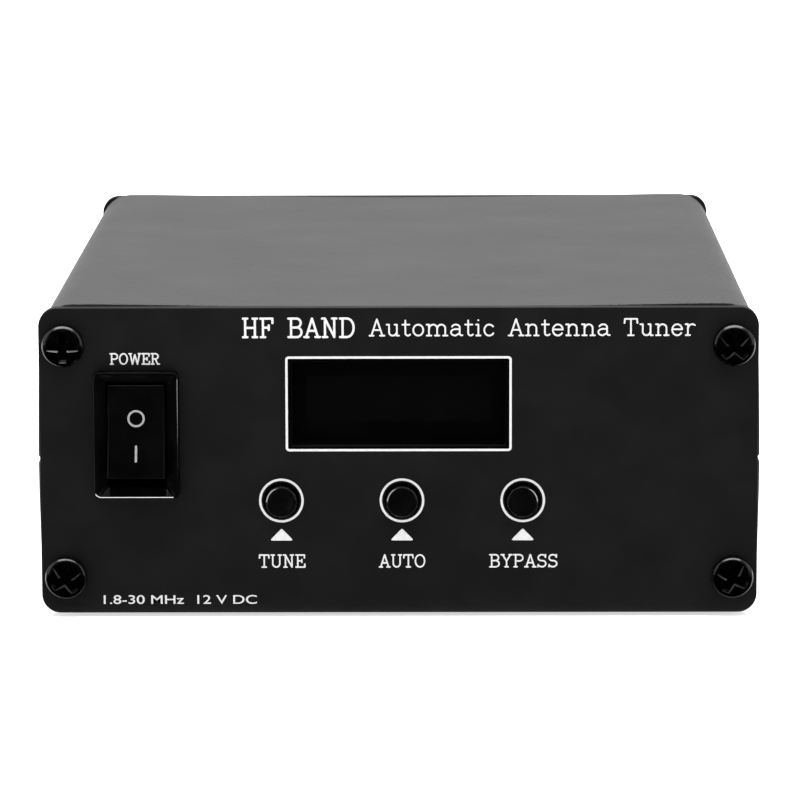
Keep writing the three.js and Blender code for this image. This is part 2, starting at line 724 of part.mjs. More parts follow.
function leads() {
  const landing = BOARD_TOP + SOLDER_GAP;
  for (const [name, x] of Object.entries(SOCKETS)) {
    const cupEnd = BACK - CONTACT.cup - SOLDER_GAP;
    const inward = x - Math.sign(x) * 3;
    lead(`${name}_lead`, 0.9, [
      [x, cupEnd, MID_HEIGHT],
      [x, cupEnd - 3, MID_HEIGHT - 0.6],
      [inward, cupEnd - 6.5, MID_HEIGHT - 5],
      [inward, cupEnd - 7.5, landing],
    ]);
  }
  const tailEnd = BACK - JACK_PIN.tail - SOLDER_GAP;
  lead('supply_lead', 0.8, [
    [0, tailEnd, JACK.z],
    [0, tailEnd - 3, JACK.z - 0.6],
    [-5, tailEnd - 6, JACK.z - 8],
    [-7, tailEnd - 6.5, landing],
  ]);
}

// --- assembly -------------------------------------------------------------------------------------

shells();
frontPanel();
rearPanel();
panelScrews();
switchHousing();
powerRocker();
switchTabs();
display();
for (const [name, x] of Object.entries(BUTTONS)) {
  pushButton(name, x);
}
for (const [name, x] of Object.entries(SOCKETS)) {
  coaxSocket(name, x);
  coaxInsulator(name, x);
  coaxContact(name, x);
}
supplyJack();
earthStud();
boardParts();
leads();

// The middle of the whole length, sockets and rocker included, goes to y = 0.
const reach = new THREE.Box3().setFromObject(tuner);
tuner.position.y = -(reach.min.y + reach.max.y) / 2;

export default tuner;
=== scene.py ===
# Looks of the antenna tuner: finer meshes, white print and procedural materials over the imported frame.
# The builders work in millimetres and scale to metres at the end.
import json
import math

import bmesh
import bpy
from mathutils import Matrix, Vector

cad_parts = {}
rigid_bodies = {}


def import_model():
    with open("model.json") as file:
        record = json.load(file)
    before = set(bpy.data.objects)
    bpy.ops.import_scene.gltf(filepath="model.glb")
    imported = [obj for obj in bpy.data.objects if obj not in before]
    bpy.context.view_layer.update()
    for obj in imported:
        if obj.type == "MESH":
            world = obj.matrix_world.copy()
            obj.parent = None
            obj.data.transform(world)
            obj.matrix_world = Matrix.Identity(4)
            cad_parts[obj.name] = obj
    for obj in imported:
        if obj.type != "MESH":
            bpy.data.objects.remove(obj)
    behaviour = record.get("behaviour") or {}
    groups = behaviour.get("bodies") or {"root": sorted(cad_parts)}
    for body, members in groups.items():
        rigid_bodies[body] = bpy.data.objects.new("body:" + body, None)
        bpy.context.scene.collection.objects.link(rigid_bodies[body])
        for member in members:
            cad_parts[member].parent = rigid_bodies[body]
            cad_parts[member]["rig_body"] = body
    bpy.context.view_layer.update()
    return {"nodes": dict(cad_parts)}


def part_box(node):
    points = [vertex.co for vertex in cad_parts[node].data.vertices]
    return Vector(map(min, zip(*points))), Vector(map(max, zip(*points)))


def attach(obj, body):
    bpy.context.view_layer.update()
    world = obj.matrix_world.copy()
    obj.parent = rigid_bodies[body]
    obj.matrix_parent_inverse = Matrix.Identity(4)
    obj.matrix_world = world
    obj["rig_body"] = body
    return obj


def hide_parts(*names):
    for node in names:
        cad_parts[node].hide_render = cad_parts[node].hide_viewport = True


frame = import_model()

MM = 0.001
NODES = frame["nodes"]


def span(node):
    lo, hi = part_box(node)
    return lo / MM, hi / MM


def middle(node):
    lo, hi = span(node)
    return (lo + hi) / 2


FRONT = span("front_panel")[0].y
BACK = span("rear_panel")[1].y
MID_HEIGHT = middle("rear_panel").z

# Sizes in millimetres that more than one builder uses. A pair is width and height along X and Z.
PANEL_THICKNESS = 1.6
SCREW_HOLE = 1.65
TAPPED_HOLE = 1.3
HEAD_RADIUS = 2.55
HEAD_HEIGHT = 1.9
SWITCH_BODY = (8.5, 13.4)
SWITCH_BEZEL = (10.46, 15.69)
SWITCH_MOUTH = (7.3, 12.9)
BUTTON_RADIUS = 1.9
BUTTONS = ("tune", "auto", "bypass")
SOCKETS = ("antenna", "transceiver")
FLANGE_THICKNESS = 1.6
NECK_HOLE = 6.5
STUD_RADIUS = 1.95
STUD_PITCH = 0.7
WASHER_THICKNESS = 0.8

# --- materials ------------------------------------------------------------------------------------


def rgb(value):
    return (*value, 1.0) if isinstance(value, tuple) else (value, value, value, 1.0)


class Look:
    """A Principled material whose colour, roughness and relief come from noise in object space."""

    def __init__(self, name, colour, rough, metal=0.0, specular=0.5, coat=0.0):
        self.material = bpy.data.materials.new(name)
        self.material.use_nodes = True
        self.tree = self.material.node_tree
        self.shader = self.tree.nodes["Principled BSDF"]
        self.place = self.add("ShaderNodeTexCoord").outputs["Object"]
        self.rough = rough
        self.height = None
        self.colour = colour
        self.colour_link = None
        for socket, value in (
            ("Base Color", rgb(colour)),
            ("Roughness", rough),
            ("Metallic", metal),
            ("Specular IOR Level", specular),
            ("Coat Weight", coat),
            ("Coat Roughness", 0.08),
        ):
            self.shader.inputs[socket].default_value = value
        self.material.diffuse_color = rgb(colour)

    def add(self, kind, **settings):
        made = self.tree.nodes.new(kind)
        for key, value in settings.items():
            setattr(made, key, value)
        return made

    def join(self, source, target):
        self.tree.links.new(source, target)

    def noise(self, size, detail=3.0, stretch=None):
        """Noise with features of about that size in millimetres."""
        made = self.add("ShaderNodeTexNoise")
        made.inputs["Scale"].default_value = 1 / (size * MM)
        made.inputs["Detail"].default_value = detail
        place = self.place
        if stretch:
            mapping = self.add("ShaderNodeMapping")
            mapping.inputs["Scale"].default_value = stretch
            self.join(place, mapping.inputs["Vector"])
            place = mapping.outputs["Vector"]
        self.join(place, made.inputs["Vector"])
        return made.outputs["Fac"]

    def ramp(self, value, low, high, out_low=0.0, out_high=1.0):
        made = self.add("ShaderNodeMapRange")
        for socket, number in (
            ("From Min", low), ("From Max", high), ("To Min", out_low), ("To Max", out_high)
        ):
            made.inputs[socket].default_value = number
        self.join(value, made.inputs["Value"])
        return made.outputs["Result"]

    def blend(self, factor, other):
        """Mixes another colour over what the base colour is so far."""
        made = self.add("ShaderNodeMix", data_type="RGBA")
        self.join(factor, made.inputs["Factor"])
        if self.colour_link:
            self.join(self.colour_link, made.inputs["A"])
        else:
            made.inputs["A"].default_value = rgb(self.colour)
        made.inputs["B"].default_value = rgb(other)
        self.colour_link = made.outputs["Result"]
        self.join(self.colour_link, self.shader.inputs["Base Color"])
        return self

    def tones(self, other, size, detail=3.0, low=0.35, high=0.65):
        return self.blend(self.ramp(self.noise(size, detail), low, high), other)

    def gloss(self, spread, size):
        """Roughness that wanders about its own value."""
        low, high = self.rough - spread, self.rough + spread
        value = self.ramp(self.noise(size), 0.3, 0.7, low, high)
        self.join(value, self.shader.inputs["Roughness"])
        return self

    def relief(self, size, height, detail=2.0, stretch=None):
        made = self.add("ShaderNodeBump")
        made.inputs["Strength"].default_value = 1.0
        made.inputs["Distance"].default_value = height * MM
        self.join(self.noise(size, detail, stretch), made.inputs["Height"])
        if self.height:
            self.join(self.height, made.inputs["Normal"])
        self.height = made.outputs["Normal"]
        self.join(self.height, self.shader.inputs["Normal"])
        return self

    def wear_and_highlight(self, other, width, amount=0.5, size=1.5):
        """Edges in another tone where a rounded-off normal leaves the true one: rubbed on most pieces, a
        painted highlight on the screw heads.
        """
        soft = self.add("ShaderNodeBevel", samples=4)
        soft.inputs["Radius"].default_value = width * MM
        true = self.add("ShaderNodeNewGeometry")
        dot = self.add("ShaderNodeVectorMath", operation="DOT_PRODUCT")
        self.join(soft.outputs["Normal"], dot.inputs[0])
        self.join(true.outputs["Normal"], dot.inputs[1])
        edge = self.ramp(dot.outputs["Value"], 0.985, 0.90, 0.0, amount)
        patchy = self.ramp(self.noise(size, 4.0), 0.4, 0.65)
        both = self.add("ShaderNodeMath", operation="MULTIPLY")
        self.join(edge, both.inputs[0])
        self.join(patchy, both.inputs[1])
        return self.blend(both.outputs["Value"], other)


def materials():
    looks = {}

    def look(name, *args, **kwargs):
        looks[name] = Look(name, *args, **kwargs)
        return looks[name]

    shell = look("case_black", 0.016, 0.45, specular=0.5)
    shell.tones(0.021, 9).wear_and_highlight(0.05, 0.2, 0.5).gloss(0.02, 14)
    shell.relief(0.6, 0.085, 3, stretch=(1.9, 0.5, 1.9))
    panel = look("panel_black", 0.0055, 0.5, specular=0.15)
    panel.tones(0.0068, 5).wear_and_highlight(0.04, 0.12, 0.4).gloss(0.06, 6).relief(0.22, 0.004)
    screw = look("screw_black", 0.035, 0.2, metal=1.0)
    # The screw heads' lighter edges are partly rubbed, partly a painted highlight along the cross recess
    # and the rim.
    screw.tones(0.065, 1.2).wear_and_highlight(0.1, 0.1, 0.5, 0.6).gloss(0.05, 0.8).relief(0.15, 0.002)
    switch = look("switch_black", 0.0010, 0.1, specular=0.15)
    switch.tones(0.0018, 4).gloss(0.02, 3).relief(0.4, 0.001)
    button = look("button_black", 0.0010, 0.15, specular=0.5)
    button.tones(0.002, 1.5).gloss(0.03, 1.2).relief(0.2, 0.001)
    glass = look("display_black", 0.0006, 0.05, specular=0.4)
    glass.tones(0.001, 6).gloss(0.02, 9).relief(5, 0.002)
    area = look("display_area", 0.0012, 0.08, specular=0.4)
    area.tones(0.0016, 3).gloss(0.03, 4).relief(1, 0.001)
    board = look("board_green", (0.012, 0.09, 0.035), 0.38, coat=0.3)
    board.tones((0.02, 0.13, 0.05), 3).gloss(0.08, 2).relief(0.6, 0.01)
    chip = look("chip_black", 0.02, 0.6)
    chip.tones(0.03, 0.8).gloss(0.1, 1).relief(0.12, 0.01)
    relay = look("relay_blue", (0.015, 0.05, 0.16), 0.4)
    relay.tones((0.02, 0.065, 0.2), 4).gloss(0.07, 2).relief(0.5, 0.006)
    coil = look("coil_red", (0.28, 0.035, 0.015), 0.3, metal=0.2, coat=0.5)
    coil.tones((0.34, 0.06, 0.03), 1.5).gloss(0.08, 1).relief(0.7, 0.03, stretch=(1, 1, 0.2))
    nickel = look("socket_nickel", (0.62, 0.60, 0.55), 0.24, metal=1.0)
    nickel.tones((0.52, 0.50, 0.46), 3).wear_and_highlight((0.75, 0.73, 0.70), 0.12, 0.7)
    nickel.gloss(0.07, 2).relief(0.3, 0.002)
    steel = look("fastener_steel", (0.48, 0.48, 0.50), 0.3, metal=1.0)
    steel.tones((0.40, 0.40, 0.42), 2).wear_and_highlight((0.7, 0.7, 0.72), 0.1, 0.7).gloss(0.08, 1).relief(0.2, 0.003)
    brass = look("contact_brass", (0.72, 0.50, 0.17), 0.22, metal=1.0)
    brass.tones((0.60, 0.40, 0.13), 1.5).gloss(0.06, 1).relief(0.2, 0.002)
    white = look("insulator_white", (0.72, 0.69, 0.62), 0.5)
    white.tones((0.66, 0.62, 0.54), 2).gloss(0.08, 1).relief(0.3, 0.006)
    white.shader.inputs["Subsurface Weight"].default_value = 0.2
    white.shader.inputs["Subsurface Scale"].default_value = 0.5 * MM
    lead = look("lead_red", (0.35, 0.012, 0.01), 0.42)
    lead.tones((0.28, 0.01, 0.008), 2).gloss(0.08, 1).relief(0.4, 0.006)
    ink = look("ink_white", 0.56, 0.55, specular=0.3)
    ink.tones(0.5, 0.5, 4).gloss(0.08, 0.4).relief(0.08, 0.004)
    mark = look("mark_grey", 0.26, 0.5, specular=0.3)
    mark.tones(0.22, 0.4, 4).gloss(0.08, 0.4).relief(0.08, 0.004)
    return {name: made.material for name, made in looks.items()}


LOOKS = materials()

# --- meshes ---------------------------------------------------------------------------------------


def to_object(name, bm, look, body="case", node=None, crease=35, weighted=True, place=None):
    """A piece that rides on a body, from a mesh in millimetres. It may stand for a CAD node."""
    bmesh.ops.recalc_face_normals(bm, faces=bm.faces)
    bmesh.ops.scale(bm, vec=Vector((MM, MM, MM)), verts=bm.verts)
    mesh = bpy.data.meshes.new(name)
    bm.to_mesh(mesh)
    bm.free()
    mesh.shade_smooth()
    mesh.set_sharp_from_angle(angle=math.radians(crease))
    mesh.materials.append(LOOKS[look])
    made = bpy.data.objects.new(name, mesh)
    bpy.context.scene.collection.objects.link(made)
    if weighted:
        even = made.modifiers.new("even_normals", "WEIGHTED_NORMAL")
        even.keep_sharp = True
        even.weight = 60
    if place:
        made.matrix_world = place
    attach(made, body)
    if node:
        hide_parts(node)


def stand_in(node, bm, look, crease=35, place=None):
    """The finer piece that is shown in place of a CAD node."""
    body = NODES[node]["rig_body"]
    to_object(f"{node}_fine", bm, look, body, node, crease, place=place)


def loop(bm, points):
    return [bm.verts.new(p) for p in points]


def bridge(bm, first, second):
    """Faces between two loops of vertices. One of them may be a single vertex, which is a tip."""
    count = max(len(first), len(second))
    for i in range(count):
        j = (i + 1) % count
        if len(first) == 1:
            bm.faces.new((first[0], second[j], second[i]))
        elif len(second) == 1:
            bm.faces.new((first[i], first[j], second[0]))
        else:
            bm.faces.new((first[i], first[j], second[j], second[i]))


def fillet(points, radius, steps=3, closed=False):
    """A polyline with its corners rounded. Corners that are nearly straight stay as they are."""
    rounded = []
    count = len(points)
    for i, p in enumerate(points):
        p = Vector(p)
        if not closed and i in (0, count - 1):
            rounded.append(p)
            continue
        before, after = Vector(points[i - 1]), Vector(points[(i + 1) % count])
        u, v = before - p, after - p
        turn = math.pi - u.angle(v)
        if turn < math.radians(12):
            rounded.append(p)
            continue
        reach = min(radius * math.tan(turn / 2), u.length * 0.45, v.length * 0.45)
        start, end = p + u.normalized() * reach, p + v.normalized() * reach
        for k in range(steps + 1):
            t = k / steps
            rounded.append(start * (1 - t) ** 2 + p * 2 * t * (1 - t) + end * t**2)
    return rounded


def lathe(bm, profile, sides, centre=(0, 0, 0), closed=False, shape=None):
    """A profile of (radius, distance along Y) turned about an axis along Y."""
    x, y, z = centre
    loops = []
    for radius, along in profile:
        if radius < 1e-6:
            loops.append(loop(bm, [(x, y + along, z)]))
            continue
        points = []
        for i in range(sides):
            angle = 2 * math.pi * i / sides
            r = shape(radius, along, angle) if shape else radius
            points.append((x + r * math.cos(angle), y + along, z + r * math.sin(angle)))
        loops.append(loop(bm, points))
    pairs = zip(loops, loops[1:] + loops[:1]) if closed else zip(loops, loops[1:])
    for first, second in pairs:
        bridge(bm, first, second)


def thread(crest, pitch, depth, start, end):
    """A screw thread's radius over a smooth barrel of radius crest, fading at both ends."""
    run_out = 0.6

    def shape(radius, along, angle):
        if abs(radius - crest) > 1e-3 or not start <= along <= end:
            return radius
        phase = (along / pitch - angle / (2 * math.pi)) % 1
        groove = min(1, max(0, 1.35 * (1 - abs(2 * phase - 1)) - 0.12))
        fade = min(1, (along - start) / run_out, (end - along) / run_out)
        return radius - depth * groove * fade

    return shape


def barrel(radius, start, end, step):
    """A straight profile cut into short steps, for thread() to shape."""
    count = round((end - start) / step)
    return [(radius, start + (end - start) * i / count) for i in range(count + 1)]


def rounded_rectangle(x, z, width, height, radius, steps=10):
    """The outline as a function of how far it is grown outwards."""

    def outline(grow):
        r = max(radius + grow, 0.01)
        across, up = width / 2 + grow - r, height / 2 + grow - r
        points = []
        for quarter, (sx, sz) in enumerate(((1, -1), (1, 1), (-1, 1), (-1, -1))):
            for k in range(steps + 1):
                angle = math.radians(90 * (quarter - 1) + 90 * k / steps)
                points.append((x + sx * across + r * math.cos(angle), z + sz * up + r * math.sin(angle)))
        return points

    return outline


def disc(x, z, radius, sides=48):
    def outline(grow):
        r = radius + grow
        turns = (2 * math.pi * i / sides for i in range(sides))
        return [(x + r * math.cos(a), z + r * math.sin(a)) for a in turns]

    return outline


def evaluated_mesh(holder):
    """The mesh that a curve or text object comes to. The object is used up."""
    bpy.context.scene.collection.objects.link(holder)
    bpy.context.view_layer.update()
    evaluated = holder.evaluated_get(bpy.context.evaluated_depsgraph_get())
    mesh = bpy.data.meshes.new_from_object(evaluated)
    bpy.data.objects.remove(holder)
    return mesh


def plate_mesh(outline, holes, y0, y1, edge, fineness=1):
    """A flat plate in the X-Z plane with rounded edges, from a filled 2D curve."""
    curve = bpy.data.curves.new("plate", "CURVE")
    curve.dimensions = "2D"
    curve.fill_mode = "BOTH"
    curve.extrude = (y1 - y0) / 2 - edge
    curve.bevel_depth = edge
    curve.bevel_resolution = fineness
    for points in [outline(-edge), *(hole(edge) for hole in holes)]:
        spline = curve.splines.new("POLY")
        spline.points.add(len(points) - 1)
        for target, (x, z) in zip(spline.points, points):
            target.co = (x, z, 0, 1)
        spline.use_cyclic_u = True
    mesh = evaluated_mesh(bpy.data.objects.new("plate", curve))
    bm = bmesh.new()
    bm.from_mesh(mesh)
    bpy.data.meshes.remove(mesh)
    bmesh.ops.remove_doubles(bm, verts=bm.verts, dist=1e-4)
    turn = Matrix.Translation((0, (y0 + y1) / 2, 0)) @ Matrix.Rotation(math.pi / 2, 4, "X")
    bmesh.ops.transform(bm, matrix=turn, verts=bm.verts)
    return bm


def boolean(bm, tool, operation="DIFFERENCE"):
    """bm with tool cut away, or only what both hold. Both are used up."""
    holders = []
    for part in (bm, tool):
        bmesh.ops.recalc_face_normals(part, faces=part.faces)
        mesh = bpy.data.meshes.new("part")
        part.to_mesh(mesh)
        part.free()
        holders.append(bpy.data.objects.new("part", mesh))
        bpy.context.scene.collection.objects.link(holders[-1])
    cutter = holders[0].modifiers.new("cut", "BOOLEAN")
    cutter.operation = operation
    cutter.solver = "EXACT"
    cutter.object = holders[1]
    bpy.context.view_layer.update()
    evaluated = holders[0].evaluated_get(bpy.context.evaluated_depsgraph_get())
    result = bmesh.new()
    result.from_mesh(evaluated.to_mesh())
    evaluated.to_mesh_clear()
    for holder in holders:
        bpy.data.objects.remove(holder)
    return result


def soften(bm, width, segments, least, only):
    """Rounds the edges that turn by at least that many degrees, or only some of them."""
    sharp = [
        e
        for e in bm.edges
        if len(e.link_faces) == 2
        and e.calc_face_angle(0) > math.radians(least)
        and (only is None or only(e))
    ]
    bmesh.ops.bevel(
        bm, geom=sharp, offset=width, segments=segments, profile=0.5, affect="EDGES", clamp_overlap=True
    )


def from_node(node):
    """A welded copy of a CAD node's mesh in millimetres."""
    bm = bmesh.new()
    bm.from_mesh(NODES[node].data)
    bmesh.ops.scale(bm, vec=Vector((1 / MM, 1 / MM, 1 / MM)), verts=bm.verts)
    bmesh.ops.remove_doubles(bm, verts=bm.verts, dist=1e-3)
    bmesh.ops.dissolve_limit(bm, angle_limit=math.radians(0.6), verts=bm.verts, edges=bm.edges)
    return bm


def refined(node, look, width, segments=2, least=30, only=None):
    """A CAD node with its sharp edges rounded."""
    bm = from_node(node)
    soften(bm, width, segments, least, only)
    stand_in(node, bm, look)


# --- lettering ------------------------------------------------------------------------------------
# Letters are pen strokes on a grid where a capital is 10 high. A stroke is a list of points, bow()
# gives the points of an elliptical arc, in degrees anticlockwise from the right, foot() a serif, and
# stem() an upright. A glyph is its width and its strokes. Ink reaches INK_ROOT into the panel.


def bow(x, z, across, up, start, end):
    steps = max(4, round(abs(end - start) / 15))
    angles = (math.radians(start + (end - start) * i / steps) for i in range(steps + 1))
    return [(x + across * math.cos(a), z + up * math.sin(a)) for a in angles]


def foot(x, half=1.15, z=0):
    return [(x - half, z), (x + half, z)]


def stem(x, top=10, bottom=0):
    return [(x, bottom), (x, top)]


GLYPHS = {
    " ": (5.5, []),
    "A": (8, [[(1, 0), (4, 10), (7, 0)], [(2.1, 3.4), (5.9, 3.4)], foot(1.1, 1.1), foot(6.9, 1.2)]),
    "B": (7.4, [stem(1.6), [(0.2, 10), *bow(4.4, 7.6, 2.2, 2.4, 90, -90), (1.6, 5.2)],
                [(4.4, 5.2), *bow(4.5, 2.6, 2.5, 2.6, 90, -90), (0.2, 0)]]),
    "D": (7.8, [stem(1.6), [(0.2, 10), *bow(3.8, 5, 3.5, 5, 90, -90), (0.2, 0)]]),
    "E": (7.2, [stem(1.6), [(0.2, 10), (6.5, 10), (6.5, 7.6)], [(1.6, 5.1), (4.6, 5.1)],
                stem(4.6, 6.3, 3.9), [(0.2, 0), (6.8, 0), (6.8, 2.5)]]),
    "F": (7, [stem(1.6), [(0.2, 10), (6.5, 10), (6.5, 7.6)], [(1.6, 5.1), (4.6, 5.1)],
              stem(4.6, 6.3, 3.9), foot(1.6)]),
    "H": (8.2, [stem(1.6), stem(6.6), foot(1.6), foot(6.6), foot(1.6, z=10), foot(6.6, z=10),
                [(1.6, 5), (6.6, 5)]]),
    "N": (8.2, [stem(1.7), [(0.2, 10), (1.7, 10), (6.5, 0), (6.5, 10)], foot(1.7), foot(6.5, z=10)]),
    "O": (8, [bow(4, 5, 3.5, 5, 0, 360)]),
    "P": (7.4, [stem(1.6), [(0.2, 10), *bow(4.3, 7.4, 2.6, 2.6, 90, -90), (1.6, 4.8)], foot(1.6)]),
    "R": (7.8, [stem(1.6), [(0.2, 10), *bow(4.2, 7.5, 2.4, 2.5, 90, -90), (1.6, 5)],
                [(4, 5), (6.2, 0), (7.7, 0)], foot(1.6)]),
    "S": (7, [[(6.1, 10), (6.1, 7.9), *bow(3.5, 7.5, 2.7, 2.5, 20, 250),
               *bow(3.5, 2.6, 2.9, 2.6, 70, -160), (0.7, 0)]]),
    "T": (7.6, [stem(3.8), [(0.3, 7.5), (0.5, 10), (7.1, 10), (7.3, 7.5)], foot(3.8, 1.5)]),
    "U": (8.2, [[(1.5, 10), *bow(4.1, 3.1, 2.6, 3.1, 180, 360), (6.7, 10)], foot(1.5, z=10),
                foot(6.7, z=10)]),
    "W": (11, [[(1.2, 10), (3.2, 0), (5.5, 9), (7.8, 0), (9.8, 10)], foot(1.2, 1.1, 10),
               foot(9.8, 1.1, 10)]),
    "X": (8.2, [[(1.2, 0), (7, 10)], [(1.2, 10), (7, 0)], foot(1.3, 1.1), foot(6.9, 1.1),
                foot(1.3, 1.1, 10), foot(6.9, 1.1, 10)]),
    "Y": (8.2, [[(1.2, 10), (4.1, 4.8), (7, 10)], stem(4.1, 4.8), foot(4.1), foot(1.2, 1.1, 10),
                foot(7, 1.1, 10)]),
    "a": (6.8, [[*bow(3.1, 5, 2.1, 1.7, 165, 0), *bow(6.3, 1.3, 1.1, 1.2, 180, 290)],
                [(5.2, 3.9), *bow(2.8, 1.95, 2.3, 1.95, 90, 275), (5.2, 1.4)]]),
    "c": (6.2, [bow(3.2, 3.3, 2.7, 3.4, 40, 325)]),
    "e": (6.4, [[(0.6, 3.6), *bow(3.2, 3.3, 2.7, 3.4, 5, 325)]]),
    "i": (3.4, [[(0.4, 6.7), (1.7, 6.7), (1.7, 0)], foot(1.7), [(1.65, 9.3), (1.75, 9.3)]]),
    "m": (12, [[(0.3, 6.7), (1.6, 6.7), (1.6, 0)],
               [(1.6, 4.4), *bow(3.9, 4.5, 2.1, 2.2, 160, 0), (6, 0)],
               [(6, 4.4), *bow(8.3, 4.5, 2.1, 2.2, 160, 0), (10.4, 0)], foot(1.6, 1.2), foot(6, 1.2),
               foot(10.4, 1.2)]),
    "n": (7.6, [[(0.3, 6.7), (1.6, 6.7), (1.6, 0)],
                [(1.6, 4.4), *bow(3.9, 4.5, 2.1, 2.2, 160, 0), (6, 0)],
                foot(1.6, 1.2), foot(6, 1.2)]),
    "o": (6.4, [bow(3.2, 3.35, 2.7, 3.35, 0, 360)]),
    "r": (5.8, [[(0.3, 6.7), (1.6, 6.7), (1.6, 0)],
                [(1.6, 4), *bow(3.9, 4.2, 2.2, 2.5, 150, 50)], foot(1.6)]),
    "t": (4.8, [[(2, 9.2), *bow(3.4, 1.5, 1.4, 1.5, 180, 325)], [(0.4, 6.7), (4.2, 6.7)]]),
    "u": (7.4, [[(0.3, 6.7), (1.6, 6.7), *bow(3.6, 2, 2, 2, 180, 320), (5.8, 2.2)],
                [(4.6, 6.7), (5.8, 6.7), (5.8, 0), (7, 0)]]),
}
CAPITAL = 10
LETTER_GAP = 1.0
INK_ROOT = 0.006
STROKE_STEP = 0.0006


def smooth_runs(points):
    """A polyline cut at its sharp corners, so that each run's round ends make a round corner."""
    runs = [[points[0]]]
    for before, p, after in zip(points, points[1:], points[2:]):
        runs[-1].append(p)
        turn = (Vector(p) - Vector(before)).angle(Vector(after) - Vector(p), 0)
        if turn > math.radians(40):
            runs.append([p])
    runs[-1].append(points[-1])
    return runs


class Print:
    """White ink on a panel: strokes of a round pen, each a hair higher than the one before."""

    def __init__(self, surface, facing, thickness=0.03):
        self.bm = bmesh.new()
        self.surface = surface
        self.facing = facing
        self.thickness = thickness
        self.strokes = 0

    def stroke(self, points, pen):
        """A line with round ends, or a ring where the last point is the first."""
        points = [Vector(p) for p in points]
        ring = (points[0] - points[-1]).length < 1e-4
        if ring:
            points.pop()
        count = len(points)
        left, right = [], []
        for i, p in enumerate(points):
            before = points[i - 1] if ring or i else p
            after = points[(i + 1) % count] if ring or i < count - 1 else p
            u = (p - before).normalized() if before != p else (after - p).normalized()
            v = (after - p).normalized() if after != p else u
            along = (u + v).normalized()
            normal = Vector((-along.y, along.x))
            mitre = min(2.0, 1 / max(0.3, normal.dot(Vector((-u.y, u.x)))))
            left.append(p + normal * pen / 2 * mitre)
            right.append(p - normal * pen / 2 * mitre)
        y = self.surface + self.facing * (self.thickness + STROKE_STEP * (self.strokes % 12))
        self.strokes += 1

        def vert(p):
            return self.bm.verts.new((p.x, y, p.y))

        lefts, rights = [vert(p) for p in left], [vert(p) for p in right]
        faces = []
        for i in range(count if ring else count - 1):
            j = (i + 1) % count
            faces.append(self.bm.faces.new((lefts[i], lefts[j], rights[j], rights[i])))
        if not ring:
            for tip, inner, first, last in (
                (points[0], points[1], lefts[0], rights[0]),
                (points[-1], points[-2], rights[-1], lefts[-1]),
            ):
                out = (tip - inner).normalized()
                across = Vector((-out.y, out.x))
                cap = [
                    vert(tip + pen / 2 * (out * math.cos(a) + across * math.sin(a)))
                    for a in (math.radians(d) for d in (-54, -18, 18, 54))
                ]
                faces.append(self.bm.faces.new([first, *cap, last]))
        self.sink(faces)

    def sink(self, faces):
        """Extrudes the faces into the panel."""
        back = bmesh.ops.extrude_face_region(self.bm, geom=faces)
        for v in back["geom"]:
            if isinstance(v, bmesh.types.BMVert):
                v.co.y = self.surface - self.facing * INK_ROOT

    def write(self, text, left, right, base, height, pen):
        """Text between two x positions. On the rear, left is the larger x."""
        widths = [GLYPHS[c][0] for c in text]
        natural = sum(widths) + LETTER_GAP * (len(text) - 1)
        squeeze = (right - left) / natural
        x = 0.0
        for character, width in zip(text, widths):
            for points in GLYPHS[character][1]:
                placed = [
                    (left + (x + px) * squeeze, base + pz * height / CAPITAL) for px, pz in points
                ]
                for run in smooth_runs(placed):
                    self.stroke(run, pen)
            x += width + LETTER_GAP

    def ring(self, outline, pen):
        """A line all round an outline."""
        points = outline(0)
        self.stroke([*points, points[0]], pen)

    def area(self, points):
        """A filled outline."""
        y = self.surface + self.facing * self.thickness
        self.sink([self.bm.faces.new([self.bm.verts.new((x, y, z)) for x, z in points])])

    def plain(self, text, left, right, base, height, weight):
        """Text between two x positions in a thin plain face, its strokes grown by weight."""
        curve = bpy.data.curves.new("line", "FONT")
        curve.body = text
        curve.size = 1
        curve.offset = weight
        curve.extrude = 0.01
        mesh = evaluated_mesh(bpy.data.objects.new("line", curve))
        xs = [v.co.x for v in mesh.vertices]
        zs = [v.co.y for v in mesh.vertices]
        tall = height / (max(zs) - min(zs))
        start = min(xs)
        wide = (right - left) / (max(xs) - start)
        for v in mesh.vertices:
            depth = self.thickness if v.co.z > 0 else -INK_ROOT
            x = left + (v.co.x - start) * wide
            v.co = (x, self.surface + self.facing * depth, base + v.co.y * tall)
        self.bm.from_mesh(mesh)
        bpy.data.meshes.remove(mesh)

    def finish(self, name, body="case", look="ink_white"):
        to_object(name, self.bm, look, body, crease=30, weighted=False)


# --- screws ---------------------------------------------------------------------------------------


